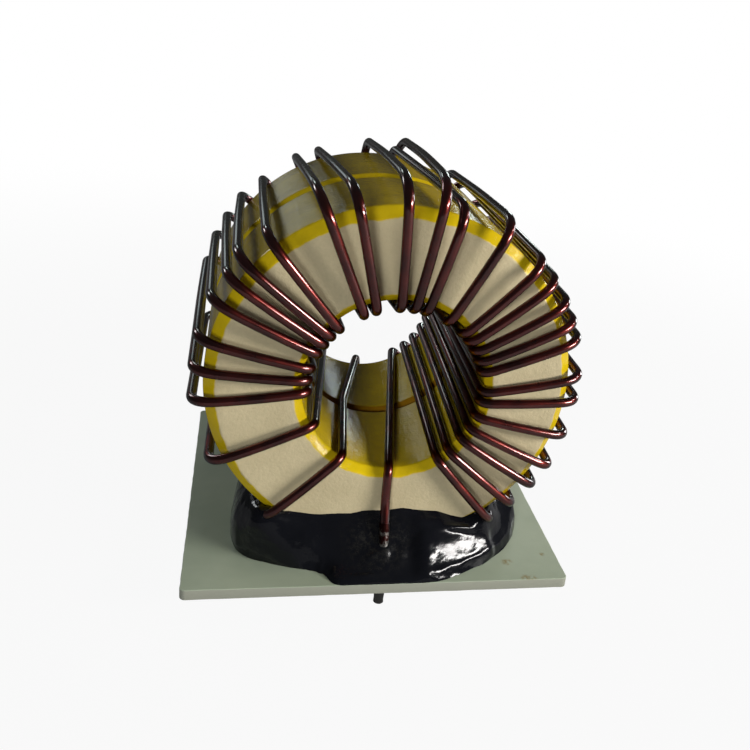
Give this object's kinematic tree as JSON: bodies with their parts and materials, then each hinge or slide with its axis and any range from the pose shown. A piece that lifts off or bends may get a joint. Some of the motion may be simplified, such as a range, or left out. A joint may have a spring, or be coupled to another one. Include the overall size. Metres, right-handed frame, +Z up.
{
  "type": "toroidal inductor",
  "caption": "Toroidal power inductor: stacked ring cores wound with thick enamelled wire, glued upright on a square carrier board with two solder pins.",
  "frame": {"origin": "middle of the carrier board's underside, half way between the two pins", "axes": "+Z up out of the board, Y along the cores' axis through both pins, X across the board"},
  "size_m": [0.0693, 0.069, 0.0782],
  "materials": {
    "core_paint": "satin",
    "enamelled_wire": "gloss",
    "board_laminate": "satin",
    "adhesive": "gloss"
  },
  "bodies": {
    "root": {"core_front": "core_paint", "core_rear": "core_paint", "winding": "enamelled_wire", "base_board": "board_laminate", "adhesive": "adhesive"}
  },
  "joints": []
}
